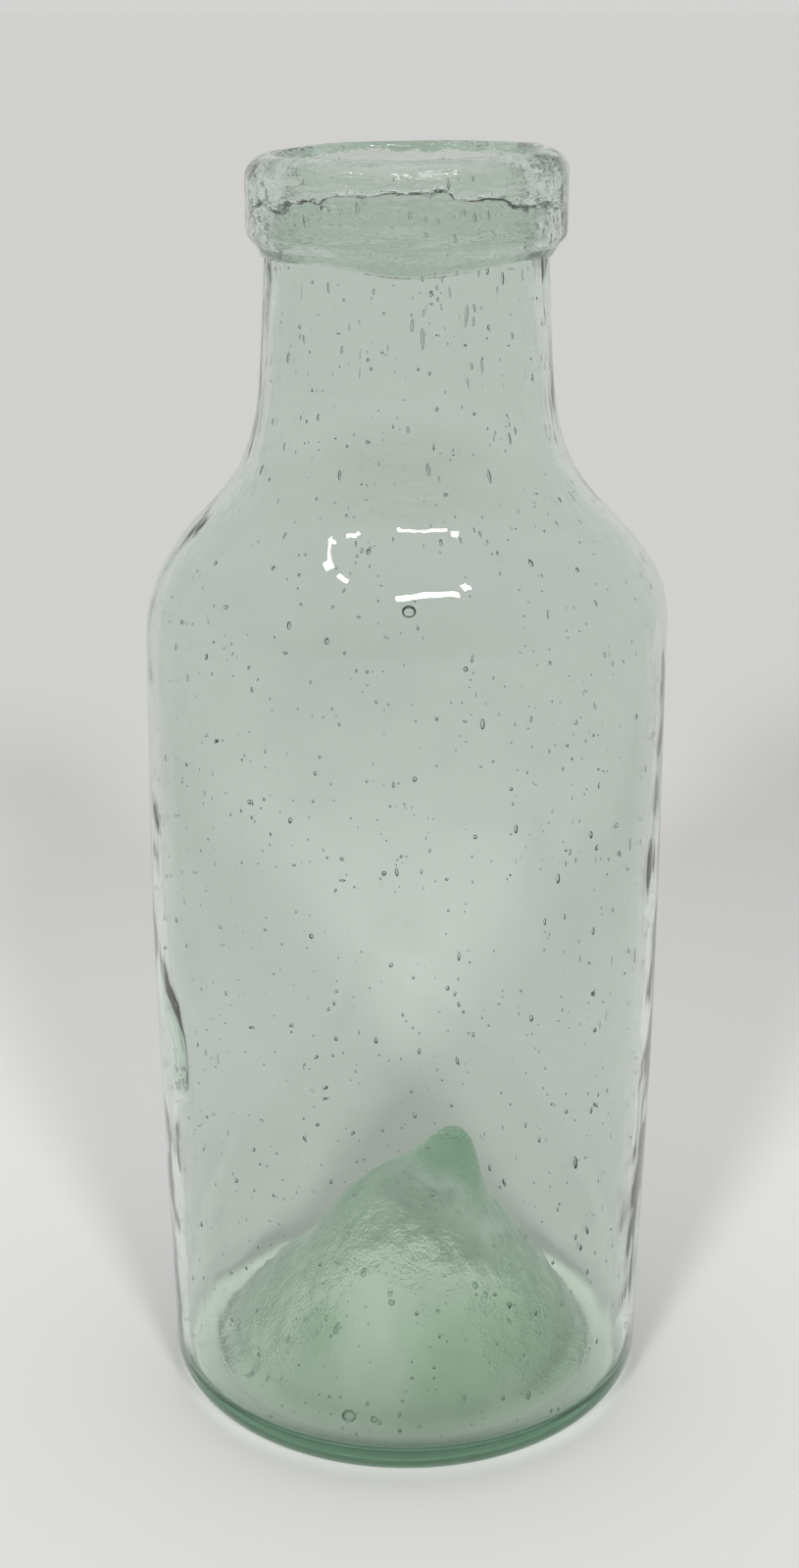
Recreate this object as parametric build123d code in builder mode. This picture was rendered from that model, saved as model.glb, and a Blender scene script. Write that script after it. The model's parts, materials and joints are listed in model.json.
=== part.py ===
from build123d import *
from math import cos, radians, sin, sqrt, tan
import os

# Hand-blown wide-mouth preserve bottle in pale aqua glass, in millimetres.
# The bottle stands on z = 0 and its own axis is +Z.

# Whole bottle
height = 240.0
lip_radius = 28.3
body_radius = 48.3
base_radius = 46.9
mouth_radius = 22.6
wall_thickness = 2.3

# Heel, resting ring and the groove inside the bottle above it
heel_radius = 6.8
rest_inner_radius = 35.5
rest_edge_radius = 1.2
base_thickness = 5.0
groove_inner_radius = 38.5
groove_round = 2.8

# Wall and shoulder; the slope is measured from the horizontal
wall_swell = 0.55
shoulder_corner_z = 163.0
shoulder_corner_round = 20.0
shoulder_slope = 49.4

# Neck, tapering up to the sheared end that the lip is laid on
neck_foot_radius = 27.3
neck_foot_z = 187.5
neck_foot_round = 29.0
neck_taper = 1.0 / 16.0
sheared_end_z = 232.0
bore_start_z = 212.0
bore_start_round = 50.0

# Kick-up, the cone pushed up into the base, solid at its tip
under_slope = 52.0
under_dome_radius = 10.0
inner_slope = 51.0
inner_dome_radius = 5.0

# The blown glass is divided into two solids at this height, just above the kick-up
base_line_z = 52.0

# Applied lip, a rounded band with a thin skirt running down onto the neck
lip_top_round = 4.1
lip_mouth_round = 1.5
band_foot_z = 225.4
band_foot_round = 1.8
skirt_top_z = 223.6
skirt_top_width = 2.1
skirt_end_z = 221.6
skirt_end_width = 0.6

# Pontil scar, a low ring of glass left where the iron was broken off
scar_radius = 6.5
scar_rim_width = 1.8
scar_rim_drop = 1.3
scar_cup_radius = 3.9
scar_cup_skin = 0.7
scar_rim_round = 0.4


def neck_outer(z):
    """Outer radius of the tapering neck at height z."""
    return neck_foot_radius - (z - neck_foot_z) * neck_taper


def rise(run, slope):
    """Height gained over a horizontal run at a slope in degrees."""
    return run * tan(radians(slope))


def direction(slope):
    """Unit direction inwards and upwards at a slope in degrees."""
    return (-cos(radians(slope)), sin(radians(slope)))


# Underside of the kick-up: a cone from the resting ring, then a dome tangent to it
under_joint_r = under_dome_radius * sin(radians(under_slope))
under_joint_z = rise(rest_inner_radius - under_joint_r, under_slope)
under_centre_z = under_joint_z - under_dome_radius * cos(radians(under_slope))
under_top_z = under_centre_z + under_dome_radius

# Upper side of the kick-up, inside the bottle
inner_joint_r = inner_dome_radius * sin(radians(inner_slope))
inner_joint_z = base_thickness + rise(groove_inner_radius - inner_joint_r, inner_slope)
inner_top_z = inner_joint_z + inner_dome_radius * (1 - cos(radians(inner_slope)))

# The inside of the shoulder lies one wall thickness below its outside
inner_corner_r = body_radius - wall_thickness
slope_shift = wall_thickness / cos(radians(shoulder_slope))
inner_corner_z = shoulder_corner_z + rise(wall_thickness, shoulder_slope) - slope_shift
inner_foot_r = neck_foot_radius - wall_thickness
inner_foot_z = inner_corner_z + rise(inner_corner_r - inner_foot_r, shoulder_slope)

wall_mid_z = (heel_radius + shoulder_corner_z) / 2
wall_mid_r = (base_radius + body_radius) / 2 + wall_swell

os.makedirs("parts", exist_ok=True)

# Blown glass: neck, shoulder, wall, heel and kick-up, all one gather
heel_inside = (base_radius - heel_radius, 0)
heel_outside = (base_radius, heel_radius)
shoulder_corner = (body_radius, shoulder_corner_z)
neck_foot = (neck_foot_radius, neck_foot_z)
sheared_outside = (neck_outer(sheared_end_z), sheared_end_z)
sheared_inside = (mouth_radius, sheared_end_z)
bore_start = (mouth_radius, bore_start_z)
inner_foot = (inner_foot_r, inner_foot_z)
inner_corner = (inner_corner_r, inner_corner_z)
wall_foot = (base_radius - wall_thickness, base_thickness)
groove_inside = (groove_inner_radius, base_thickness)
inner_joint = (inner_joint_r, inner_joint_z)
under_joint = (under_joint_r, under_joint_z)
rest_inside = (rest_inner_radius, 0)

body_rounds = [
    (shoulder_corner, shoulder_corner_round),
    (neck_foot, neck_foot_round),
    (bore_start, bore_start_round),
    (inner_foot, neck_foot_round + wall_thickness),
    (inner_corner, shoulder_corner_round - wall_thickness),
    (wall_foot, groove_round),
    (groove_inside, groove_round),
    (rest_inside, rest_edge_radius),
]

with BuildPart() as blown_glass:
    with BuildSketch(Plane.XZ) as body_section:
        with BuildLine():
            TangentArc(heel_inside, heel_outside, tangent=(1, 0))
            ThreePointArc(heel_outside, (wall_mid_r, wall_mid_z), shoulder_corner)
            Polyline(shoulder_corner, neck_foot, sheared_outside, sheared_inside)
            Polyline(sheared_inside, bore_start, inner_foot, inner_corner)
            ThreePointArc(inner_corner, (wall_mid_r - wall_thickness, wall_mid_z), wall_foot)
            Polyline(wall_foot, groove_inside, inner_joint)
            TangentArc(inner_joint, (0, inner_top_z), tangent=direction(inner_slope))
            Line((0, inner_top_z), (0, under_top_z))
            TangentArc((0, under_top_z), under_joint, tangent=(1, 0))
            Polyline(under_joint, rest_inside, heel_inside)
        make_face()
        for place, radius in body_rounds:
            fillet(body_section.vertices().sort_by_distance(place)[0], radius=radius)
    revolve(axis=Axis.Z)

# Upper share of the blown glass: wall, shoulder and neck
with BuildPart() as blown_body:
    add(blown_glass.part)
    split(bisect_by=Plane.XY.offset(base_line_z), keep=Keep.TOP)
blown_body.part.label = "blown_body"
export_step(blown_body.part, "parts/blown_body.step")

# Lower share of the same glass: foot of the wall, heel, resting ring and kick-up
with BuildPart() as kick_up_base:
    add(blown_glass.part)
    split(bisect_by=Plane.XY.offset(base_line_z), keep=Keep.BOTTOM)
kick_up_base.part.label = "kick_up_base"
export_step(kick_up_base.part, "parts/kick_up_base.step")

# Applied lip: a second gather laid round and over the sheared neck
band_foot = (lip_radius, band_foot_z)
lip_top_outside = (lip_radius, height)
lip_top_inside = (mouth_radius, height)
skirt_top = (neck_outer(skirt_top_z) + skirt_top_width, skirt_top_z)
skirt_end_outside = (neck_outer(skirt_end_z) + skirt_end_width, skirt_end_z)
skirt_end_inside = (neck_outer(skirt_end_z), skirt_end_z)

lip_rounds = [
    (lip_top_outside, lip_top_round),
    (lip_top_inside, lip_mouth_round),
    (band_foot, band_foot_round),
    (skirt_top, band_foot_round),
]

with BuildPart() as applied_lip:
    with BuildSketch(Plane.XZ) as lip_section:
        with BuildLine():
            Polyline(skirt_end_inside, skirt_end_outside, skirt_top, band_foot, lip_top_outside)
            Polyline(lip_top_outside, lip_top_inside, sheared_inside, sheared_outside)
            Line(sheared_outside, skirt_end_inside)
        make_face()
        for place, radius in lip_rounds:
            fillet(lip_section.vertices().sort_by_distance(place)[0], radius=radius)
    revolve(axis=Axis.Z)
applied_lip.part.label = "applied_lip"
export_step(applied_lip.part, "parts/applied_lip.step")

# Pontil scar: a shallow cup with a raised rim, fused to the dome under the kick-up
scar_edge_z = under_centre_z + sqrt(under_dome_radius**2 - scar_radius**2)
rim_foot_z = scar_edge_z - scar_rim_drop
scar_edge = (scar_radius, scar_edge_z)
rim_outside = (scar_radius, rim_foot_z)
rim_inside = (scar_radius - scar_rim_width, rim_foot_z)
cup_edge = (scar_cup_radius, scar_edge_z)
cup_middle = (0, under_top_z - scar_cup_skin)

with BuildPart() as pontil_scar:
    with BuildSketch(Plane.XZ) as scar_section:
        with BuildLine():
            TangentArc((0, under_top_z), scar_edge, tangent=(1, 0))
            Polyline(scar_edge, rim_outside, rim_inside, cup_edge)
            TangentArc(cup_middle, cup_edge, tangent=(1, 0))
            Line(cup_middle, (0, under_top_z))
        make_face()
        for place in (rim_outside, rim_inside):
            fillet(scar_section.vertices().sort_by_distance(place)[0], radius=scar_rim_round)
    revolve(axis=Axis.Z)
pontil_scar.part.label = "pontil_scar"
export_step(pontil_scar.part, "parts/pontil_scar.step")
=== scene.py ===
import json
import math
import bpy
import bmesh
import numpy as np
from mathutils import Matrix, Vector

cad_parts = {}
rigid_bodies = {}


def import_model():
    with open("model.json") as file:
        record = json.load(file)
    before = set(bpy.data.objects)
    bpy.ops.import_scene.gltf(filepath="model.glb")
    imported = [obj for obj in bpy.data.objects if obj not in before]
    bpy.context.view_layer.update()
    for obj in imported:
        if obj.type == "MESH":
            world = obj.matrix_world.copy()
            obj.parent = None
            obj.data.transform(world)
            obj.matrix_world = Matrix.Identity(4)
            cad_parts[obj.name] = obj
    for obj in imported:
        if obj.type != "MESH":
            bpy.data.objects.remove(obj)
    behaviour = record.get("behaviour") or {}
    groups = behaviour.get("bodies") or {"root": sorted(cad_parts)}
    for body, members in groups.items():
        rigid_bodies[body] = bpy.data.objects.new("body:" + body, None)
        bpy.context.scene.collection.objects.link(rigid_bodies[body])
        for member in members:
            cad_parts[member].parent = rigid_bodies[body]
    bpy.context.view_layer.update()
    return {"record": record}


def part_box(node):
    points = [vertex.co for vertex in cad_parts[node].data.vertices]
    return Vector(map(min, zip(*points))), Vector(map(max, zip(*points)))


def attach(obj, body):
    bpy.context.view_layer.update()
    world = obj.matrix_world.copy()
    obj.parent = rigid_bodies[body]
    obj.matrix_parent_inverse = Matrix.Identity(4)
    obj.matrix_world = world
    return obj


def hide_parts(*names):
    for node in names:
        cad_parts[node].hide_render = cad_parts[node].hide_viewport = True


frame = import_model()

mm = 0.001
tau = 2 * math.pi

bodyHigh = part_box("blown_body")[1]
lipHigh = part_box("applied_lip")[1]
bottleHeight = lipHigh.z / mm
lipRadius = lipHigh.x / mm
mouthRadius = next(m for m in frame["record"]["mounts"] if m["name"] == "mouth")["dims"]["r_mm"]
print("frame: bottle", round(bottleHeight, 1), "mm high,", round(2 * bodyHigh.x / mm, 1), "mm wide")


# shapes are worked out in millimetres, and newObject turns them into metres

def ease(low, high, value):
    t = np.clip((value - low) / (high - low), 0.0, 1.0)
    return t * t * (3 - 2 * t)


def hump(value, centre, spread):
    return np.exp(-((value - centre) / spread) ** 2)


def ripples(seed, shortest, longest, count=16, tall=1.0):
    # a soft random field made of plane waves, about -2 to 2
    rng = np.random.default_rng(seed)
    way = rng.normal(size=(count, 3))
    way /= np.linalg.norm(way, axis=1)[:, None]
    pitch = tau / rng.uniform(shortest, longest, count)
    start = rng.uniform(0, tau, count)

    def field(x, y, z):
        total = np.zeros(np.broadcast(x, y, z).shape)
        for w, k, s in zip(way, pitch, start):
            total = total + np.sin(k * (w[0] * x + w[1] * y + w[2] * z / tall) + s)
        return total / math.sqrt(count / 2)
    return field


def smoothCurve(stations, heights):
    # a natural cubic spline through (height, radius) stations
    h, r = np.array(stations, float).T
    n = len(h)
    step = np.diff(h)
    grid = np.eye(n)
    right = np.zeros(n)
    for i in range(1, n - 1):
        grid[i, i - 1:i + 2] = step[i - 1], 2 * (step[i - 1] + step[i]), step[i]
        right[i] = 6 * ((r[i + 1] - r[i]) / step[i] - (r[i] - r[i - 1]) / step[i - 1])
    bend = np.linalg.solve(grid, right)
    heights = np.asarray(heights, float)
    k = np.clip(np.searchsorted(h, heights) - 1, 0, n - 2)
    a, b, s = h[k + 1] - heights, heights - h[k], step[k]
    return ((bend[k] * a ** 3 + bend[k + 1] * b ** 3) / (6 * s)
            + (r[k] / s - bend[k] * s / 6) * a + (r[k + 1] / s - bend[k + 1] * s / 6) * b)


def roundedPath(corners):
    # corners are (radius, height, rounding, gap between points on the run that follows)
    arcGap = 0.7
    path = []
    last = len(corners) - 1
    for i, (r, z, rounding, gap) in enumerate(corners):
        here = Vector((r, z))
        if rounding and 0 < i < last:
            back = (Vector(corners[i - 1][:2]) - here).normalized()
            on = (Vector(corners[i + 1][:2]) - here).normalized()
            half = back.angle(on) / 2
            reach = rounding / math.tan(half)
            centre = here + (back + on).normalized() * (rounding / math.sin(half))
            a, b = here + back * reach - centre, here + on * reach - centre
            turn = a.angle(b)
            steps = max(5, round(turn * rounding / arcGap))
            for s in range(steps + 1):
                f = s / steps
                swing = a * math.sin((1 - f) * turn) + b * math.sin(f * turn)
                path.append(centre + swing / math.sin(turn))
        else:
            path.append(here)
        if i < last:
            end = Vector(corners[i + 1][:2])
            nextRound = corners[i + 1][2] if i + 1 < last else 0
            if nextRound:
                b0 = (here - end).normalized()
                b1 = (Vector(corners[i + 2][:2]) - end).normalized()
                end = end + b0 * (nextRound / math.tan(b0.angle(b1) / 2))
            begin = path[-1]
            count = max(1, round((end - begin).length / gap))
            for s in range(1, count + (0 if nextRound else 1)):
                path.append(begin.lerp(end, s / count))
    clean = [path[0]]
    for p in path[1:]:
        if (p - clean[-1]).length > 1e-4:     # no two points on one spot
            clean.append(p)
    return np.array([tuple(p) for p in clean])


def newObject(name, points, faces, slotName, *nodeNames):
    mesh = bpy.data.meshes.new(name)
    mesh.from_pydata([tuple(p) for p in (np.asarray(points) * mm)], [], faces)
    mesh.validate()
    mesh.polygons.foreach_set("use_smooth", [True] * len(mesh.polygons))
    mesh.update()
    piece = bpy.data.objects.new(name, mesh)
    bpy.context.scene.collection.objects.link(piece)
    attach(piece, "root")
    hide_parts(*nodeNames)
    return piece


def spunPoints(rings, around, closedLoop, shape):
    # rings is a list of (radius, height); shape moves the points and gives x, y, z
    angles = np.arange(around) * tau / around
    r = rings[:, 0][:, None]
    z = rings[:, 1][:, None] + np.zeros((1, around))
    x, y, z = shape(r * np.cos(angles)[None, :], r * np.sin(angles)[None, :], z)
    points = np.stack([x, y, z], -1)
    count = len(rings)
    poleStart, poleEnd = rings[0, 0] < 1e-6, rings[-1, 0] < 1e-6
    faces = []
    for i in range(count if closedLoop else count - 1):
        k = (i + 1) % count
        for j in range(around):
            n = (j + 1) % around
            a, b, c, d = i * around + j, i * around + n, k * around + n, k * around + j
            if i == 0 and poleStart:
                faces.append((a - j, c, d))
            elif k == count - 1 and poleEnd:
                faces.append((a, b, k * around))
            else:
                faces.append((a, b, c, d))
    return [tuple(p) for p in points.reshape(-1, 3)], faces


def cleanMesh(piece):
    # spare points at the poles go, and every face looks outwards
    work = bmesh.new()
    work.from_mesh(piece.data)
    loose = [v for v in work.verts if not v.link_faces]
    bmesh.ops.delete(work, geom=loose, context="VERTS")
    bmesh.ops.recalc_face_normals(work, faces=work.faces)
    if work.calc_volume(signed=True) < 0:
        bmesh.ops.reverse_faces(work, faces=work.faces)
    work.to_mesh(piece.data)
    work.free()


def band(tree, value, low, high, out0=0.0, out1=1.0):
    made = tree.nodes.new("ShaderNodeMapRange")
    made.interpolation_type = "SMOOTHSTEP"
    made.clamp = True
    made.inputs["From Min"].default_value = low
    made.inputs["From Max"].default_value = high
    made.inputs["To Min"].default_value = out0
    made.inputs["To Max"].default_value = out1
    tree.links.new(value, made.inputs["Value"])
    return made.outputs["Result"]


def maths(tree, operation, first, second):
    made = tree.nodes.new("ShaderNodeMath")
    made.operation = operation
    for socket, value in zip(made.inputs, (first, second)):
        if isinstance(value, (int, float)):
            socket.default_value = value
        else:
            tree.links.new(value, socket)
    return made.outputs[0]


def times(tree, first, *others):
    for other in others:
        first = maths(tree, "MULTIPLY", first, other)
    return first


def plus(tree, first, second):
    return maths(tree, "ADD", first, second)


def blendColour(tree, factor, first, second):
    made = tree.nodes.new("ShaderNodeMix")
    made.data_type = "RGBA"
    tree.links.new(factor, made.inputs["Factor"])
    for socket, value in ((made.inputs[6], first), (made.inputs[7], second)):
        if isinstance(value, tuple):
            socket.default_value = (*value, 1)
        else:
            tree.links.new(value, socket)
    return made.outputs[2]


def noiseAt(tree, place, scale, detail=2.0, stretch=None):
    if stretch:
        mapping = tree.nodes.new("ShaderNodeMapping")
        mapping.inputs["Scale"].default_value = stretch
        tree.links.new(place, mapping.inputs["Vector"])
        place = mapping.outputs[0]
    made = tree.nodes.new("ShaderNodeTexNoise")
    made.inputs["Scale"].default_value = scale
    made.inputs["Detail"].default_value = detail
    tree.links.new(place, made.inputs["Vector"])
    return made.outputs["Fac"]


def bumped(tree, height, strength, distance, below=None):
    made = tree.nodes.new("ShaderNodeBump")
    made.inputs["Distance"].default_value = distance
    if isinstance(strength, float):
        made.inputs["Strength"].default_value = strength
    else:
        tree.links.new(strength, made.inputs["Strength"])
    tree.links.new(height, made.inputs["Height"])
    if below is not None:
        tree.links.new(below, made.inputs["Normal"])
    return made.outputs["Normal"]


def splitPlace(tree, coords):
    split = tree.nodes.new("ShaderNodeSeparateXYZ")
    tree.links.new(coords, split.inputs[0])
    return split.outputs["X"], split.outputs["Y"], split.outputs["Z"]


def distanceOf(tree, vector):
    made = tree.nodes.new("ShaderNodeVectorMath")
    made.operation = "LENGTH"
    tree.links.new(vector, made.inputs[0])
    return made.outputs["Value"]


def startMaterial(name):
    material = bpy.data.materials.new(name)
    material.use_nodes = True
    tree = material.node_tree
    tree.nodes.clear()
    out = tree.nodes.new("ShaderNodeOutputMaterial")
    shader = tree.nodes.new("ShaderNodeBsdfPrincipled")
    tree.links.new(shader.outputs[0], out.inputs["Surface"])
    coords = tree.nodes.new("ShaderNodeTexCoord").outputs["Object"]
    shader.inputs["IOR"].default_value = glass["ior"]
    shader.inputs["Transmission Weight"].default_value = 1.0
    return material, tree, shader, out, coords


glass = {
    "ior": 1.5,
    "absorbDensity": 14.0,                    # per metre, times one minus the colour below
    "absorbColour": (0.19, 0.69, 0.36),
    # the glass's pale green, darkened further as painted shade for the shade lying behind the bottle
    "clearTintAndShade": (0.872, 0.908, 0.878),
    "kickTint": (0.46, 0.62, 0.47),
    "hazyTintAndShade": (0.83, 0.87, 0.84),
    "edgeTint": (0.36, 0.56, 0.43),
    "edgeDepth": 0.7,
    # painted shade, laid on the front of the heel
    "heelPaintedShade": (0.06, 0.17, 0.10),
    "restWear": 0.35,                         # roughness where the bottle stands
    "footFrost": 0.10,
    "hazeFrost": 0.012,
    "tipFrost": 0.22,
    "underFrost": 0.12,
    "upperFrost": 0.04,
    "kickGrain": 0.45,
    "drawLines": 0.10,
    "swell": 0.12,
    "wrinkles": 0.0,
}

# where each look fades in, in metres of height or of distance from the axis: from none, to all of it
glassArea = {
    "heelHeight": (0.0098, 0.0072), "heelAway": (0.0442, 0.0455), "heelFront": (0.012, -0.016),
    "kickAway": (0.0392, 0.0368), "kickTop": (0.055, 0.051), "kickFoot": (0.0015, 0.0045),
    "kickDepth": (0.037, 0.012), "kickTip": (0.037, 0.046),
    "restHeight": (0.0010, 0.0002), "restAway": (0.034, 0.036),
    "footHeight": (0.014, 0.006), "footInner": (0.024, 0.028), "footOuter": (0.0365, 0.034),
    "underLevel": (0.0492, 0.0482), "underTop": (0.0412, 0.0402), "underSlope": 1.26,
    "neckHeight": (0.165, 0.19),
}


def glassTint(tree, look, coords, haze, inKick, across, height, away):
    area = glassArea
    # pale green glass with random haze; both colours also carry painted shade
    tint = blendColour(tree, haze, look["clearTintAndShade"], look["hazyTintAndShade"])
    # glass looks deeper where it is met at a slant
    slant = tree.nodes.new("ShaderNodeLayerWeight").outputs["Facing"]
    edge = band(tree, slant, 0.80, 1.0, 0.0, look["edgeDepth"])
    tint = blendColour(tree, edge, tint, look["edgeTint"])
    # painted shade: the front of the heel is painted dark green, for the dark floor its glass shows at the
    # front
    heelShadeMask = times(tree, band(tree, height, *area["heelHeight"]), band(tree, away, *area["heelAway"]),
                   band(tree, across, *area["heelFront"]))
    tint = blendColour(tree, heelShadeMask, tint, look["heelPaintedShade"])
    # the kick-up is deeper in patches, and more so lower down
    streaks = band(tree, noiseAt(tree, coords, 42, 3, (1, 1, 0.6)), 0.38, 0.66, 0.35, 1.0)
    deep = times(tree, inKick, streaks, band(tree, height, *area["kickDepth"]))
    return blendColour(tree, deep, tint, look["kickTint"])


def glassRoughness(tree, look, coords, haze, inKick, height, away):
    area = glassArea
    worn = times(tree, band(tree, height, *area["restHeight"]), band(tree, away, *area["restAway"]))
    foot = times(tree, band(tree, height, *area["footHeight"]), band(tree, away, *area["footInner"]),
                 band(tree, away, *area["footOuter"]))
    grit = band(tree, noiseAt(tree, coords, 900, 3), 0.45, 0.7)
    rough = plus(tree, times(tree, worn, look["restWear"]), times(tree, foot, look["footFrost"]))
    rough = times(tree, rough, plus(tree, times(tree, grit, 0.8), 0.3))
    rough = plus(tree, rough, times(tree, haze, look["hazeFrost"]))
    # the underside of the kick-up lies below a sloping line halfway through its glass
    level = plus(tree, height, times(tree, away, area["underSlope"]))
    under = times(tree, band(tree, level, *area["underLevel"]), inKick,
                  band(tree, height, *area["underTop"]))
    clouds = band(tree, noiseAt(tree, coords, 120, 3), 0.25, 0.75, 0.6, 1.2)
    rough = plus(tree, rough, times(tree, under, clouds, look["underFrost"]))
    rough = plus(tree, rough, times(tree, inKick, look["upperFrost"]))
    return plus(tree, rough, times(tree, inKick, band(tree, height, *area["kickTip"]), look["tipFrost"]))


def glassNormal(tree, look, coords, inKick, height):
    # slow swells everywhere, upright draw lines on the neck, pits on the kick-up
    normal = bumped(tree, noiseAt(tree, coords, 70, 1), look["swell"], 0.002)
    onNeck = band(tree, height, *glassArea["neckHeight"], 0.25, 1.0)
    lines = noiseAt(tree, coords, 420, 1, (1, 1, 0.05))
    normal = bumped(tree, lines, times(tree, onNeck, look["drawLines"]), 0.0005, normal)
    patches = band(tree, noiseAt(tree, coords, 55, 2), 0.40, 0.62, 0.25, 1.0)
    pits = noiseAt(tree, coords, 1500, 3)
    normal = bumped(tree, pits, times(tree, patches, inKick, look["kickGrain"]), 0.0010, normal)
    if look["wrinkles"]:
        # tooling wrinkles run round the band
        creases = noiseAt(tree, coords, 170, 3, (1, 1, 3.5))
        normal = bumped(tree, creases, look["wrinkles"], 0.0012, normal)
    return normal


def makeGlass(name, changes):
    # changes are what a piece has different from the glass above
    look = {**glass, **changes}
    material, tree, shader, out, coords = startMaterial(name)
    sideways, across, height = splitPlace(tree, coords)
    flat = tree.nodes.new("ShaderNodeCombineXYZ")
    tree.links.new(sideways, flat.inputs["X"])
    tree.links.new(across, flat.inputs["Y"])
    away = distanceOf(tree, flat.outputs[0])
    haze = band(tree, noiseAt(tree, coords, 38, 4), 0.52, 0.75)
    area = glassArea
    inKick = times(tree, band(tree, away, *area["kickAway"]), band(tree, height, *area["kickTop"]),
                   band(tree, height, *area["kickFoot"]))
    tint = glassTint(tree, look, coords, haze, inKick, across, height, away)
    rough = glassRoughness(tree, look, coords, haze, inKick, height, away)
    normal = glassNormal(tree, look, coords, inKick, height)
    tree.links.new(tint, shader.inputs["Base Color"])
    tree.links.new(rough, shader.inputs["Roughness"])
    tree.links.new(normal, shader.inputs["Normal"])
    volume = tree.nodes.new("ShaderNodeVolumeAbsorption")
    volume.inputs["Color"].default_value = (*look["absorbColour"], 1)
    volume.inputs["Density"].default_value = look["absorbDensity"]
    tree.links.new(volume.outputs[0], out.inputs["Volume"])
    return material


# the blown body; slopes are in degrees from level
outline = {
    "stations": [                             # height and outside radius, from the foot up
        (6.8, 46.9), (30, 47.5), (75, 48.2), (120, 48.3), (145, 48.25), (153, 48.2), (160, 47.7),
        (167, 44.9), (174, 39.5), (181, 33.0), (188, 29.0), (196, 27.0), (206, 26.1), (216, 25.5),
        (232, 24.5),
    ],
    "heelRound": 6.8, "heelStart": 40.1,
    "restInner": 35.5, "restRound": 1.2,
    "wallFoot": 2.3, "wallBody": 2.0, "wallShoulder": 2.3, "wallNeck": 2.2,
    "grooveHeight": 5.0, "grooveInner": 38.5, "grooveOuter": 44.4, "grooveRound": 2.8,
    "boreFoot": 212, "boreStart": 217,
    "around": 224,
}

kickUp = {
    "underSlope": 52.0, "underDome": 10.0,
    "innerSlope": 51.0, "innerDome": 5.0,
    "leanLow": 2.6, "leanTip": 6.5,           # how far the cone, and then its tip, lean to the right
    "leanBack": 0.6,
    "lumps": 0.25,
    "underPits": 0.07, "upperPits": 0.055,
    "ridge": 32.2, "ridgeWidth": 0.8,         # a rough ridge under it, where the pushed-up part begins
    "coneRows": 30.0,                         # inside this radius the rows of points stand closer
}

unevenWall = {
    "slow": 0.10, "fine": 0.015,
    "slowInside": 0.09, "fineInside": 0.02,
    "calmSides": 0.7,                         # calmer where the outline is seen
    "calmNeck": 0.65,
    "leftBelly": 0.4, "leftShoulder": 0.6, "rightShoulder": 0.45, "frontShoulder": 1.0,
    "cord": 0.9, "cordAngle": 200, "cordHeight": 76,    # a thick cord of glass low on the left
}

shear = {
    "height": 232.0, "start": 226.0,
    "steps": [                                # angle and how far the broken end stands up or down there
        (0, 0.0), (12, 0.5), (20, -0.4), (33, 0.2), (42, 0.6), (48, 1.9), (53, 1.2), (60, 0.3), (66, -1.6),
        (71, -1.8), (75, -0.4), (80, 1.2), (85, 0.3), (92, -0.4), (101, -1.5), (105, 1.0), (112, 0.4),
        (120, -0.7), (135, 0.3), (150, 0.0), (163, -0.4), (172, 0.4), (180, -0.5), (190, -1.2), (204, 0.6),
        (215, -0.8), (223, 0.5), (236, -0.3), (243, 0.9), (256, -0.6), (262, 0.5), (275, -0.2), (284, 0.8),
        (292, -0.9), (305, 0.2), (318, -0.6), (331, 0.5), (345, -0.3), (360, 0.0),
    ],
    "stepScale": 0.75,
    "frontRise": 2.5, "sideDrop": 1.2,
}

bigWave = ripples(11, 34, 95, tall=1.6)
smallWave = ripples(12, 9, 22, tall=2.2)
innerBig = ripples(13, 28, 80, tall=1.8)
innerSmall = ripples(14, 7, 18, tall=2.5)
lumpField = ripples(15, 9, 20)
hammerField = ripples(16, 1.8, 5.0, 30)
hammerInner = ripples(17, 1.6, 4.5, 30)


def outsideRadius(z):
    return smoothCurve(outline["stations"], z)


def outsideSlope(z):
    return (outsideRadius(z + 0.05) - outsideRadius(z - 0.05)) / 0.1


def shearStep(angle):
    # how far the broken end of the neck stands above or below its mean height
    degrees = np.degrees(angle) % 360
    at, step = np.array(shear["steps"], float).T
    fine = 0.22 * np.sin(23 * angle + 1.3) * np.sin(9 * angle) + 0.14 * np.sin(41 * angle)
    sweep = shear["frontRise"] * hump(degrees, 270, 48) - shear["sideDrop"] * np.cos(angle) ** 4
    return shear["stepScale"] * np.interp(degrees, at, step) + fine + sweep


def kickMove(x, y, z):
    # the kick-up is lumpy and its tip leans over; both its skins and the scar move together
    inKick = ease(38.0, 31.0, np.hypot(x, y)) * ease(56.0, 50.0, z)
    lean = kickUp["leanLow"] * ease(2.0, 34.0, z) + kickUp["leanTip"] * ease(33.0, 50.0, z)
    back = kickUp["leanBack"] * ease(2.0, 48.0, z)
    lumps = kickUp["lumps"] * ease(1.0, 8.0, z) * lumpField(x, y, z)
    return x + inKick * lean, y + inKick * back, z + inKick * lumps


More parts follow.
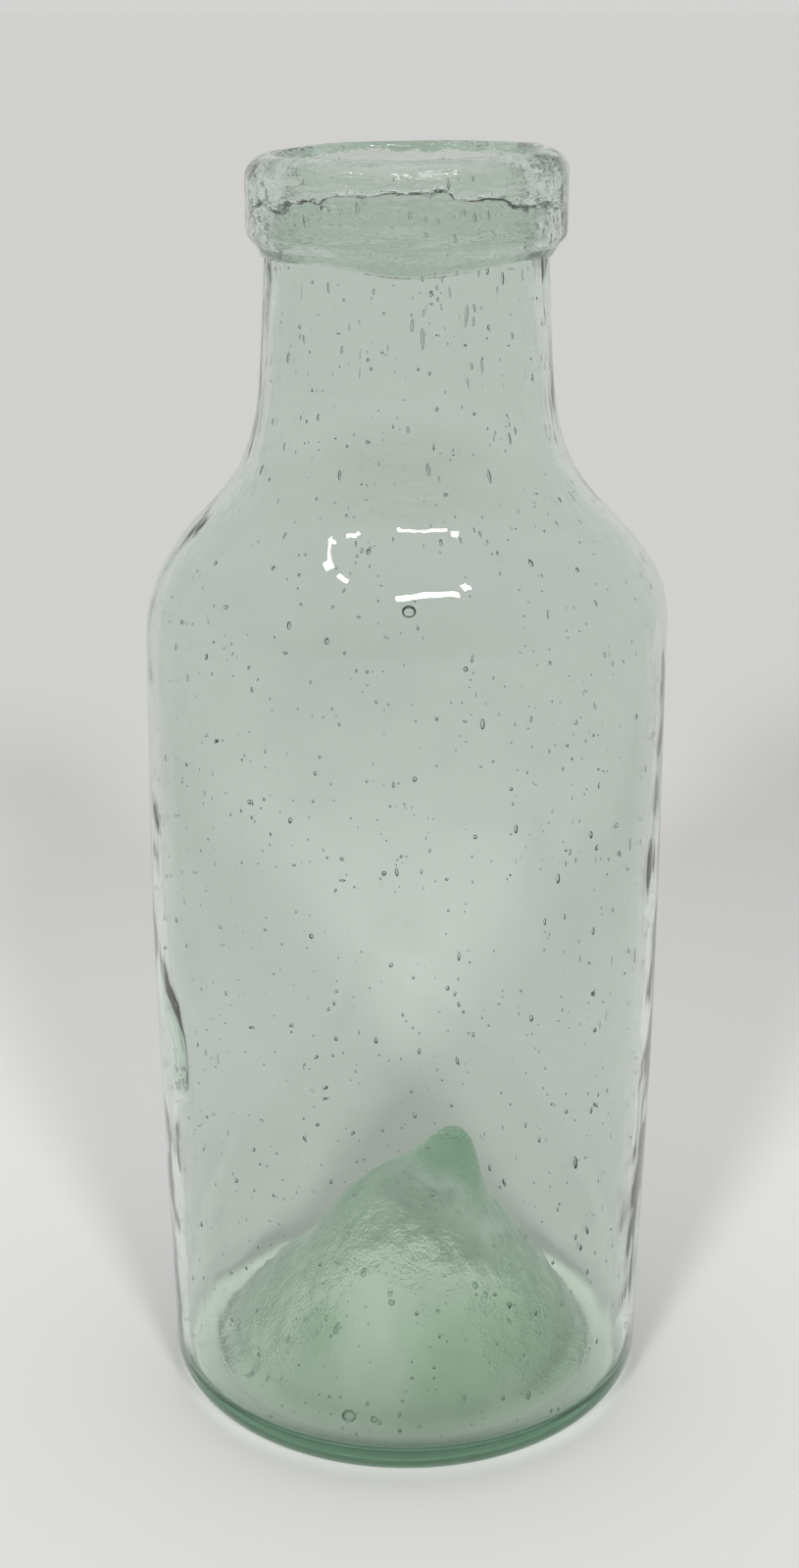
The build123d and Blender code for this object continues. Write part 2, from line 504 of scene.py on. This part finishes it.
def sideMove(x, y, z, inside):
    # the wall wanders in and out, mostly in slow waves
    u = unevenWall
    r = np.maximum(np.hypot(x, y), 1e-6)
    angle = np.arctan2(y, x)
    left, right = np.clip(-np.cos(angle), 0, 1), np.clip(np.cos(angle), 0, 1)
    front = np.clip(-np.sin(angle), 0, 1) ** 2
    move = u["slow"] * bigWave(x, y, z) + u["fine"] * smallWave(x, y, z)
    move = move + u["leftBelly"] * left * hump(z, 100, 32) - u["leftShoulder"] * left * hump(z, 165, 8)
    move = move + u["rightShoulder"] * right * hump(z, 165, 8)
    move = move + u["frontShoulder"] * front * hump(z, 189, 6)
    if inside:
        sides = 1 - u["calmSides"] * np.cos(angle) ** 6
        move = move + sides * (u["slowInside"] * innerBig(x, y, z) + u["fineInside"] * innerSmall(x, y, z))
        cord = hump(np.degrees(angle) % 360, u["cordAngle"], 8) * hump(z, u["cordHeight"], 9)
        move = move - u["cord"] * cord
    foot = ease(4.0, 26.0, z)
    neckCalm = 1 - u["calmNeck"] * ease(196.0, 222.0, z)
    move = move * foot * neckCalm
    return x + x / r * move, y + y / r * move, z


def wallThickness(z):
    o = outline
    t = o["wallFoot"] + (o["wallBody"] - o["wallFoot"]) * ease(20, 60, z)
    t = t + (o["wallShoulder"] - o["wallBody"]) * ease(130, 165, z)
    return t + (o["wallNeck"] - o["wallShoulder"]) * ease(185, 205, z)


def kickPath(edgeRadius, edgeHeight, slope, dome, gap):
    # from the axis, over the dome and down the cone to its edge
    s = math.radians(slope)
    jointR = dome * math.sin(s)
    jointZ = edgeHeight + (edgeRadius - jointR) * math.tan(s)
    centre = jointZ - dome * math.cos(s)
    turns = np.linspace(0, s, max(6, round(dome * s / gap)))
    top = [(dome * math.sin(t), centre + dome * math.cos(t)) for t in turns]
    top[0] = (0.0, centre + dome)
    count = round(math.hypot(edgeRadius - jointR, jointZ - edgeHeight) / gap)
    cone = [(jointR + (edgeRadius - jointR) * i / count, jointZ + (edgeHeight - jointZ) * i / count)
            for i in range(1, count + 1)]
    return top + cone


def rowHeights(*stretches):
    # each stretch is lowest, highest and how many rows, without its first row
    return np.concatenate([np.linspace(*stretch)[1:] for stretch in stretches])


def bodyRings():
    o = outline
    k = kickUp
    # the underside's cone runs on through the table, and is cut where its rounding starts
    under = kickPath(o["restInner"] + 0.6, -0.8, k["underSlope"], k["underDome"], 0.8)
    under = [p for p in under if p[1] > 0.9]
    rest = roundedPath([
        (*under[-1], 0, 1), (o["restInner"], 0.0, o["restRound"], 1.2), (o["heelStart"], 0.0, 0, 1),
    ])
    heel = [(o["heelStart"] + o["heelRound"] * math.sin(t), o["heelRound"] * (1 - math.cos(t)))
            for t in np.linspace(0, math.pi / 2, 18)[1:]]
    heights = rowHeights((o["heelRound"], 152, 52), (152, 204, 52), (204, 228, 12),
                         (228, shear["height"], 7))
    wall = list(zip(outsideRadius(heights), heights))
    # the inside skin lies one wall thickness in from the outside
    low = 10.5
    heights = np.append(low, rowHeights((low, 152, 48), (152, 204, 50), (204, o["boreFoot"], 5)))
    slope = outsideSlope(heights)
    scale = 1 / np.sqrt(1 + slope ** 2)
    t = wallThickness(heights)
    inner = list(zip(outsideRadius(heights) - t * scale, heights + t * slope * scale))
    bore = [(mouthRadius, h) for h in np.linspace(shear["height"], o["boreStart"], 12)]
    grooveRise = (o["grooveInner"] - k["coneRows"]) * math.tan(math.radians(k["innerSlope"]))
    groove = roundedPath([
        (*inner[0], 0, 1.5), (o["grooveOuter"], o["grooveHeight"], o["grooveRound"], 1.0),
        (o["grooveInner"], o["grooveHeight"], o["grooveRound"], 1.0),
        (k["coneRows"], o["grooveHeight"] + grooveRise, 0, 1.0),
    ])
    upper = kickPath(o["grooveInner"], o["grooveHeight"], k["innerSlope"], k["innerDome"], 0.85)[::-1]
    upper = [p for p in upper if p[0] < k["coneRows"] - 0.4]
    # underside, outside, inside and the kick-up's upper side, each moved in its own way
    skins = [under, [*rest[1:], *heel, *wall], [*bore, *inner[::-1]], [*groove[1:], *upper]]
    rings = np.array([tuple(p) for skin in skins for p in skin])
    return rings, np.repeat(range(4), [len(skin) for skin in skins])


def buildBody():
    rings, skins = bodyRings()
    k = kickUp

    def shape(x, y, z):
        skin = skins[:, None] + np.zeros_like(x, int)
        r = np.hypot(x, y)
        kx, ky, kz = kickMove(x, y, z)
        pitted = ease(38.0, 34.0, r) * ease(2.0, 7.0, z)
        ridge = hump(r, k["ridge"], k["ridgeWidth"]) * (0.8 + 0.25 * hammerInner(x, y, z * 0))
        kzUnder = kz + pitted * k["underPits"] * hammerField(x, y, z) - ridge
        kzUpper = kz + pitted * k["upperPits"] * hammerInner(x, y, z)
        ox, oy, oz = sideMove(x, y, z, False)
        ix, iy, iz = sideMove(x, y, z, True)
        lift = shearStep(np.arctan2(y, x)) * ease(shear["start"], shear["height"], z)
        return (np.choose(skin, [kx, ox, ix, kx]), np.choose(skin, [ky, oy, iy, ky]),
                np.choose(skin, [kzUnder, oz + lift, iz + lift, kzUpper]))

    points, faces = spunPoints(rings, outline["around"], False, shape)
    piece = newObject("blownBody", points, faces, "bottle_glass", "blown_body", "kick_up_base")
    cleanMesh(piece)
    piece.data.materials.append(makeGlass("bottleGlass", {}))
    return piece


body = buildBody()
print("body:", len(body.data.polygons), "faces")


# the laid-on lip
lip = {
    "film": 0.05,                             # air film left between the lip and the neck
    "topRound": 4.5,
    "mouthRound": 1.6,
    "bandFoot": 225.9,
    "footRound": 2.0,
    "skirtTop": 224.0,
    "skirtWidth": 1.5,
    "skirtEnd": 222.4,
    "skirtEdge": 0.55,
    "tilt": 0.45,                             # right side stands higher than the left
    "waves": 0.08, "tooling": 0.035,
    "glass": {"swell": 0.22, "kickGrain": 0.0, "drawLines": 0.14, "absorbDensity": 9.0, "wrinkles": 0.35},
}
lipWave = ripples(21, 18, 60)
lipSmall = ripples(22, 4, 10, tall=0.6)


def skirtDroop(angle):
    # the skirt runs lower at the front and stays high at the left
    d = np.degrees(angle) % 360
    beside = 0.5 * hump(d, 238, 14) + 0.5 * hump(d, 318, 16)
    return -1.5 * hump(d, 272, 26) + beside - 0.5 * hump(d, 100, 40)


def buildLip():
    film = lip["film"]
    neckFoot = outsideRadius(np.array([lip["skirtEnd"]]))[0]
    underLip = shear["height"] + film
    outside = roundedPath([
        (neckFoot + film, lip["skirtEnd"], 0, 0.3),
        (neckFoot + film + lip["skirtEdge"], lip["skirtEnd"] - 0.1, 0.25, 0.5),
        (neckFoot + lip["skirtWidth"], lip["skirtTop"], 1.4, 0.6),
        (lipRadius, lip["bandFoot"], lip["footRound"], 0.8),
        (lipRadius, bottleHeight, lip["topRound"], 0.8),
        (mouthRadius, bottleHeight, lip["mouthRound"], 0.8),
        (mouthRadius, underLip, 0, 1),
    ])
    # the wrap is the lip's own skin against the neck
    heights = np.linspace(underLip, lip["skirtEnd"], 18)
    wrap = np.stack([outsideRadius(np.minimum(heights, shear["height"])) + film, heights], 1)[:-1]
    rings = np.concatenate([outside, wrap])
    isWrap = (np.arange(len(rings)) >= len(outside))[:, None]

    def shape(x, y, z):
        r = np.hypot(x, y)
        angle = np.arctan2(y, x)
        wave = lipWave(x, y, z)
        # the band's outside is tooled, so it wanders on its own; the wrap follows the neck
        push = ease(25.2, 27.2, r) * (lip["waves"] * wave + lip["tooling"] * lipSmall(x, y, z))
        neckX, neckY, neckZ = sideMove(x, y, z, False)
        movedX = np.where(isWrap, neckX, neckX + x / r * push)
        movedY = np.where(isWrap, neckY, neckY + y / r * push)
        # the top tilts, the middle follows the broken end of the neck, and the skirt hangs
        above = ease(232.5, 238.0, z)
        rise = lip["tilt"] * np.cos(angle) * above + 0.10 * wave * above
        nearNeck = np.where(isWrap, 1.0, ease(26.5, 24.0, r))
        lift = shearStep(angle) * ease(shear["start"], shear["height"], z) * (1 - ease(232.2, 238.3, z))
        hang = ease(226.5, 222.6, z) * skirtDroop(angle)
        return movedX, movedY, neckZ + rise + lift * nearNeck + hang

    points, faces = spunPoints(rings, outline["around"], True, shape)
    piece = newObject("appliedLip", points, faces, "lip_glass", "applied_lip")
    cleanMesh(piece)
    piece.data.materials.append(makeGlass("lipGlass", lip["glass"]))
    return piece


lipPiece = buildLip()
print("lip:", len(lipPiece.data.polygons), "faces")


# the pontil scar under the kick-up, a rough ring round a shallow cup
scar = {
    "radius": 6.5,
    "rimWidth": 1.8,
    "rimDrop": 1.3,
    "rimRound": 0.4,
    "cup": 3.9,
    "skin": 0.7,
    "film": 0.04,
    "chips": 0.4,
    "around": 96,
    "glass": {"swell": 0.3, "kickGrain": 0.3, "drawLines": 0.0, "absorbDensity": 20.0},
}
scarChips = ripples(31, 1.4, 4.0, 20)


def buildScar():
    s = math.radians(kickUp["underSlope"])
    dome = kickUp["underDome"]
    centre = (outline["restInner"] - dome * math.sin(s)) * math.tan(s) - dome * math.cos(s)
    reach = dome - scar["film"]
    turns = np.linspace(0, math.asin(scar["radius"] / dome), 16)
    top = [(reach * math.sin(t), centre + reach * math.cos(t)) for t in turns]
    edgeZ = top[-1][1]
    foot = edgeZ - scar["rimDrop"]
    rim = roundedPath([
        (*top[-1], 0, 0.5), (scar["radius"], foot, scar["rimRound"], 0.4),
        (scar["radius"] - scar["rimWidth"], foot, scar["rimRound"], 0.4), (scar["cup"], edgeZ, 0, 0.5),
    ])[1:]
    cupDepth = dome + centre - scar["skin"] - edgeZ
    shares = 1 - np.arange(1, 10) / 9
    cup = [(scar["cup"] * share, edgeZ + cupDepth * (1 - share ** 2)) for share in shares]
    rings = np.array([*top, *map(tuple, rim), *cup])
    isTop = (np.arange(len(rings)) < len(top))[:, None]

    def shape(x, y, z):
        kx, ky, kz = kickMove(x, y, z)
        kz = kz + kickUp["underPits"] * hammerField(x, y, z)
        chips = scarChips(x, y, z * 0.3) * scar["chips"]
        return kx, ky, np.where(isTop, kz, kz + np.minimum(chips * 0.6, 0.35) - 0.1)

    points, faces = spunPoints(rings, scar["around"], False, shape)
    piece = newObject("pontilScar", points, faces, "scar_glass", "pontil_scar")
    cleanMesh(piece)
    piece.data.materials.append(makeGlass("scarGlass", scar["glass"]))
    return piece


scarPiece = buildScar()
print("scar:", len(scarPiece.data.polygons), "faces")


# seed bubbles: hollows in the glass, with sizes in millimetres from the middle out
seeds = {
    "body": 1300, "bodySmall": 0.16, "bodyLarge": 0.42,
    "neck": 330, "neckSmall": 0.14, "neckLarge": 0.36,
    "neckStart": 178,
    "noted": [                                # angle (270 in front), height, half width, half length, lean
        (270.5, 169.0, 1.25, 1.15, 0.0), (294, 214.5, 0.28, 2.0, -0.12), (297, 213.5, 0.22, 0.9, -0.1),
        (287, 218.5, 0.2, 1.0, 0.15), (276, 211.0, 0.3, 1.9, 0.02), (300, 206.0, 0.22, 1.2, 0.05),
        (299, 188.0, 0.32, 1.3, 0.05), (247, 188.5, 0.3, 0.9, 0.1), (311, 62.0, 0.45, 1.5, 0.15),
        (316, 46.0, 0.35, 1.0, 0.3), (314, 43.0, 0.4, 0.7, 0.2), (301, 33.0, 0.3, 0.9, 0.1),
        (331, 98.0, 0.3, 1.6, 0.06), (327, 121.0, 0.25, 1.2, -0.05), (268, 124.0, 0.32, 0.8, 0.1),
        (281, 108.0, 0.28, 0.9, 0.0), (255, 92.0, 0.35, 0.45, 0.0), (236, 131.0, 0.3, 0.35, 0.0),
    ],
    "clearAir": (1.0, 1.0, 1.0),
    "tintedAir": (0.90, 0.95, 0.91),
}
seedRandom = np.random.default_rng(7)


def seedMaterial(name):
    material, tree, shader, out, coords = startMaterial(name)
    tint = blendColour(tree, noiseAt(tree, coords, 240, 1), seeds["tintedAir"], seeds["clearAir"])
    tree.links.new(tint, shader.inputs["Base Color"])
    rough = band(tree, noiseAt(tree, coords, 500, 1), 0.5, 0.8, 0.0, 0.03)
    tree.links.new(rough, shader.inputs["Roughness"])
    return material


def ballShape(level):
    work = bmesh.new()
    bmesh.ops.create_icosphere(work, subdivisions=level, radius=1.0)
    points = np.array([v.co[:] for v in work.verts])
    faces = np.array([[v.index for v in f.verts] for f in work.faces])
    work.free()
    return points, faces[:, ::-1]             # turned inside out, as a hollow in the glass


ballCoarse, ballFine = ballShape(1), ballShape(2)


def buildHollows(name, hollows, slotName, nodeName, material):
    # each hollow is (centre, width across, width up, width through, outward way, lean)
    fineFrom = 0.42
    allPoints, allFaces, offset = [], [], 0
    for centre, across, upward, through, outward, lean in hollows:
        points, faces = ballFine if max(across, upward) > fineFrom else ballCoarse
        outward = outward / np.linalg.norm(outward)
        side = np.cross((0, 0, 1.0), outward)
        side = side / max(np.linalg.norm(side), 1e-6)
        rise = np.cross(outward, side)
        s, c = math.sin(lean), math.cos(lean)
        side, rise = side * c + rise * s, rise * c - side * s
        p = points[:, :1] * side * across + points[:, 1:2] * rise * upward
        p = p + points[:, 2:] * outward * through + centre
        allPoints.append(p)
        allFaces.extend((faces + offset).tolist())
        offset += len(p)
    piece = newObject(name, np.concatenate(allPoints), allFaces, slotName, nodeName)
    piece.data.materials.append(material)


def movedSpot(move, angle, r, z, *how):
    # one place at an angle and a radius, moved with the glass round it
    spot = move(np.array([r * math.cos(angle)]), np.array([r * math.sin(angle)]), np.array([z]), *how)
    return np.array([value[0] for value in spot])


def thicknessAt(z):
    if z > outline["boreFoot"]:
        return float(outsideRadius(np.array([z]))[0]) - mouthRadius
    return float(wallThickness(np.array([z]))[0])


def wallSpot(angle, z, depth):
    # a place inside the wall, depth from 0 at the outside to 1 at the inside
    radius = float(outsideRadius(np.array([z]))[0])
    slope = float(outsideSlope(np.array([z]))[0])
    outward = np.array([math.cos(angle), math.sin(angle), -slope])
    outward /= np.linalg.norm(outward)
    return movedSpot(sideMove, angle, radius, z, False) - outward * thicknessAt(z) * depth, outward


def kickSpot(angle, r, highest=1000.0):
    # a place halfway through the glass of the kick-up
    z = 3.4 + (36.6 - r) * math.tan(math.radians(kickUp["innerSlope"]))
    return movedSpot(kickMove, angle, r, min(z, highest))


def lipSpot(angle, r, z):
    outward = np.array([math.cos(angle), math.sin(angle), 0.0])
    return np.array([r * math.cos(angle), r * math.sin(angle), z]), outward


def sprinkle(count, lowZ, highZ, small, large, tall):
    made = []
    while len(made) < count:
        angle = seedRandom.uniform(0, tau)
        z = seedRandom.uniform(lowZ, highZ)
        across = small + (large - small) * seedRandom.random() ** 3.2
        up = across * (1 + tall(angle) * seedRandom.random() ** 2)
        depth = seedRandom.uniform(0.3, 0.7)
        through = min(across, 0.25 * thicknessAt(z))
        place, outward = wallSpot(angle, z, depth)
        made.append((place, across, up, through, outward, seedRandom.normal() * 0.12))
    return made


def bodyStretch(angle):
    return 1.0 + 1.6 * max(0.0, math.cos(angle))        # longer on the right


def neckStretch(angle):
    return 3.5


neckStart = seeds["neckStart"]
bodySeeds = sprinkle(seeds["body"], 9, neckStart, seeds["bodySmall"], seeds["bodyLarge"], bodyStretch)
neckSeeds = sprinkle(seeds["neck"], neckStart, 224, seeds["neckSmall"], seeds["neckLarge"], neckStretch)
for degrees, z, across, up, lean in seeds["noted"]:
    place, outward = wallSpot(math.radians(degrees), z, 0.5)
    chosen = neckSeeds if z > neckStart else bodySeeds
    chosen.append((place, across, up, min(across, 0.3 * thicknessAt(z)), outward, lean))

kickAir = {
    "count": 110, "smallest": 0.18, "spread": 0.5,
    "noted": [                                # angle, radius, half width, half length, lean
        (252, 34.6, 1.5, 1.4, 0.0), (258, 20.9, 0.65, 0.65, 0.0), (304, 20.0, 0.6, 0.9, 0.1),
        (333, 20.0, 0.4, 0.5, 0.0), (281, 22.0, 0.4, 0.45, 0.0), (338, 32.0, 0.45, 1.6, 0.3),
        (317, 35.5, 0.4, 0.4, 0.0), (274, 35.4, 0.35, 0.35, 0.0), (290, 36.0, 0.35, 0.4, 0.0),
        (262, 35.0, 0.4, 0.5, 0.2), (268, 34.0, 0.3, 0.5, 0.0), (244, 33.0, 0.35, 0.4, 0.0),
    ],
}
kickSeeds = []
for i in range(kickAir["count"]):
    angle = seedRandom.uniform(0, tau)
    r = 4 + 32 * seedRandom.random() ** 0.6
    size = kickAir["smallest"] + kickAir["spread"] * seedRandom.random() ** 3
    s = math.radians(kickUp["innerSlope"])
    outward = np.array([math.cos(angle) * math.sin(s), math.sin(angle) * math.sin(s), math.cos(s)])
    length = size * (1 + seedRandom.random())
    kickSeeds.append((kickSpot(angle, r, 44.0), size, length, size * 0.8, outward, 0.0))
for degrees, r, across, up, lean in kickAir["noted"]:
    angle = math.radians(degrees)
    outward = np.array([math.cos(angle) * 0.78, math.sin(angle) * 0.78, 0.63])
    kickSeeds.append((kickSpot(angle, r), across, up, min(across, 1.2), outward, lean))

airMaterial = seedMaterial("airInGlass")
buildHollows("bodySeeds", bodySeeds, "bottle_glass", "blown_body", airMaterial)
buildHollows("neckSeeds", neckSeeds, "bottle_glass", "blown_body", airMaterial)
buildHollows("kickUpSeeds", kickSeeds, "bottle_glass", "kick_up_base", airMaterial)
print("seeds: body", len(bodySeeds), "neck", len(neckSeeds), "kick-up", len(kickSeeds))

lipAir = {
    "count": 90,
    "noted": [                                # angle, height, radius, half width, half length, lean
        (271, 231.2, 27.1, 0.28, 0.9, 0.0), (276.6, 230.6, 27.0, 0.24, 0.6, 0.1),
        (276.6, 228.2, 27.0, 0.26, 0.6, 0.0), (294, 230.8, 26.9, 0.3, 1.0, 0.1),
        (323, 228.5, 27.0, 0.3, 0.8, 0.2), (326, 227.6, 27.1, 0.28, 0.6, -0.1),
        (329, 228.9, 27.0, 0.22, 0.5, 0.1), (240, 232.2, 26.6, 0.8, 0.5, 0.3),
        (243, 232.0, 26.2, 1.2, 0.7, 0.0), (118, 236.5, 26.0, 0.4, 0.4, 0.0),
        (75, 236.8, 26.2, 0.5, 0.3, 0.0), (180, 231.0, 26.4, 0.3, 2.2, 0.15),
        (186, 229.0, 26.8, 0.35, 2.6, -0.1), (174, 228.0, 26.6, 0.25, 1.9, 0.1),
        (352, 234.0, 26.2, 0.3, 1.7, 0.1),
    ],
    "folds": [                                # angles from and to, lowest, highest, how many
        (222, 262, 228.2, 233.4, 34), (292, 312, 227.6, 233.8, 14), (80, 130, 228, 234, 16),
    ],
}
lipHollows = []
for degrees, z, r, across, up, lean in lipAir["noted"]:
    place, outward = lipSpot(math.radians(degrees), r, z)
    lipHollows.append((place, across, up, min(across, 0.5), outward, lean))
for i in range(lipAir["count"]):
    angle = seedRandom.uniform(0, tau)
    z = seedRandom.uniform(227.5, 237)
    size = 0.12 + 0.25 * seedRandom.random() ** 2.5
    place, outward = lipSpot(angle, seedRandom.uniform(25.6, 27.2), z)
    length = size * (1 + 2.5 * seedRandom.random())
    lipHollows.append((place, size, length, size * 0.8, outward, 0.1))
# folds trapped where the laid-on glass was wrapped, mostly at the left
for fromDegrees, toDegrees, lowZ, highZ, count in lipAir["folds"]:
    for i in range(count):
        angle = math.radians(seedRandom.uniform(fromDegrees, toDegrees))
        z = seedRandom.uniform(lowZ, highZ)
        place, outward = lipSpot(angle, seedRandom.uniform(26.2, 27.3), z)
        length = 0.35 + 0.8 * seedRandom.random() ** 2
        lipHollows.append((place, length, 0.11, 0.14, outward, seedRandom.normal() * 0.35))
buildHollows("lipBubbles", lipHollows, "lip_glass", "applied_lip", airMaterial)
print("lip bubbles:", len(lipHollows))


studio = {
    "paintedPoolColour": (0.86, 0.855, 0.845),       # painted pool of light: the sheet is painted brightest round the bottle
    "farColour": (0.70, 0.695, 0.685),
    "nearReach": 0.08, "farReach": 0.48,
    "underGlow": (0.50, 0.53, 0.48),          # stands in for light that comes through the bottle
    "floorWidth": 60.0,
    "skyFront": (0.655, 0.655, 0.645),
    "skyTop": (0.60, 0.60, 0.60),
    "skyBehind": (0.34, 0.36, 0.34),
    "suns": [("keySun", -22, 27, 1.30), ("fillSun", 20, 30, 1.05)],     # azimuth, elevation, strength
    "sunWidth": 9,
    "glints": [(-69, 2.6, 2.6), (-51, 13, 2.2), (13, 46, 2.2), (46, 3.0, 3.0)],   # azimuth, width, height
    "glintElevation": 62, "glintReach": 2.2,
    "lampGlow": 30.0, "smallGlow": 48.0,      # for the long lamps and for the small ones
    "lens": 52.5,
    "cameraPlace": (-0.0012, -0.4113, 0.2659),
    "cameraDip": 19.11,
}


def buildFloor():
    half = studio["floorWidth"] / 2
    mesh = bpy.data.meshes.new("floor")
    corners = [(-half, -half, 0), (half, -half, 0), (half, half, 0), (-half, half, 0)]
    mesh.from_pydata(corners, [], [(0, 1, 2, 3)])
    floor = bpy.data.objects.new("floor", mesh)
    floor.location.z = -0.0002
    bpy.context.scene.collection.objects.link(floor)
    material = bpy.data.materials.new("paleSheet")
    material.use_nodes = True
    tree = material.node_tree
    shader = tree.nodes["Principled BSDF"]
    shader.inputs["Roughness"].default_value = 0.9
    shader.inputs["Specular IOR Level"].default_value = 0.1
    coords = tree.nodes.new("ShaderNodeTexCoord").outputs["Object"]
    # painted pool of light: the sheet's colour is brighter near the bottle and fades to the plain sheet
    # further out
    reach = distanceOf(tree, coords)
    poolFade = band(tree, reach, studio["nearReach"], studio["farReach"])
    sheet = blendColour(tree, poolFade, studio["paintedPoolColour"], studio["farColour"])
    tree.links.new(sheet, shader.inputs["Base Color"])
    # a patch of light under the bottle only, stronger towards the back
    towardsBack = splitPlace(tree, coords)[1]
    patch = times(tree, band(tree, reach, 0.0475, 0.042), band(tree, towardsBack, -0.080, 0.022))
    glow = blendColour(tree, patch, (0.0, 0.0, 0.0), studio["underGlow"])
    tree.links.new(glow, shader.inputs["Emission Color"])
    shader.inputs["Emission Strength"].default_value = 1.0
    floor.data.materials.append(material)


def buildSky():
    world = bpy.data.worlds.new("studioSky")
    bpy.context.scene.world = world
    world.use_nodes = True
    tree = world.node_tree
    back = tree.nodes["Background"]
    sideways, across, up = splitPlace(tree, tree.nodes.new("ShaderNodeTexCoord").outputs["Generated"])
    rising = band(tree, up, 0.05, 0.8)
    behind = times(tree, band(tree, across, -0.1, -0.8), band(tree, up, 0.12, 0.35))
    front = blendColour(tree, rising, studio["skyFront"], studio["skyTop"])
    tree.links.new(blendColour(tree, behind, front, studio["skyBehind"]), back.inputs["Color"])
    back.inputs["Strength"].default_value = 1.0


def wayTo(azimuth, elevation):
    # azimuth 0 is the camera's side, growing to the right
    a, e = math.radians(azimuth), math.radians(elevation)
    return Vector((math.sin(a) * math.cos(e), -math.cos(a) * math.cos(e), math.sin(e)))


def addLight(name, data, azimuth, elevation, distance):
    way = wayTo(azimuth, elevation)
    light = bpy.data.objects.new(name, data)
    light.location = Vector((0, 0, 0.17)) + way * distance
    light.rotation_euler = (-way).to_track_quat("-Z", "Y").to_euler()
    light.visible_camera = False
    bpy.context.scene.collection.objects.link(light)
    return light


def buildLamps():
    # soft daylight from both front sides
    for name, azimuth, elevation, strength in studio["suns"]:
        data = bpy.data.lights.new(name, "SUN")
        data.energy = strength
        data.angle = math.radians(studio["sunWidth"])
        sun = addLight(name, data, azimuth, elevation, 3)
        sun.visible_glossy = False
        sun.visible_transmission = False
    # thin ceiling lamps that only show as glints in the glass
    reach, elevation = studio["glintReach"], studio["glintElevation"]
    for i, (azimuth, wideDegrees, tallDegrees) in enumerate(studio["glints"]):
        isLong = wideDegrees > 5
        width = 2 * reach * math.tan(math.radians(wideDegrees / 2))
        if isLong:
            width *= math.cos(math.radians(elevation))
        tall = reach * math.radians(tallDegrees)
        data = bpy.data.lights.new("glintLamp" + str(i), "AREA")
        data.shape = "RECTANGLE"
        data.size, data.size_y = width, tall
        data.energy = studio["lampGlow" if isLong else "smallGlow"] * width * tall * math.pi
        lamp = addLight("glintLamp" + str(i), data, azimuth, elevation, reach)
        lamp.visible_diffuse = False
        lamp.visible_transmission = False
        lamp.visible_volume_scatter = False


def buildCamera():
    data = bpy.data.cameras.new("camera")
    data.lens = studio["lens"]
    data.sensor_width = 36.0
    data.clip_start, data.clip_end = 0.01, 50.0
    camera = bpy.data.objects.new("camera", data)
    camera.location = studio["cameraPlace"]
    camera.rotation_euler = (math.radians(90 - studio["cameraDip"]), 0, 0)
    bpy.context.scene.collection.objects.link(camera)
    bpy.context.scene.camera = camera


buildFloor()
buildSky()
buildLamps()
buildCamera()

scene = bpy.context.scene
scene.view_settings.view_transform = "Standard"
scene.cycles.max_bounces = 16
scene.cycles.transmission_bounces = 16
scene.cycles.transparent_max_bounces = 16
scene.cycles.glossy_bounces = 8
scene.cycles.diffuse_bounces = 3
scene.cycles.sample_clamp_indirect = 16.0
scene.cycles.blur_glossy = 0.6
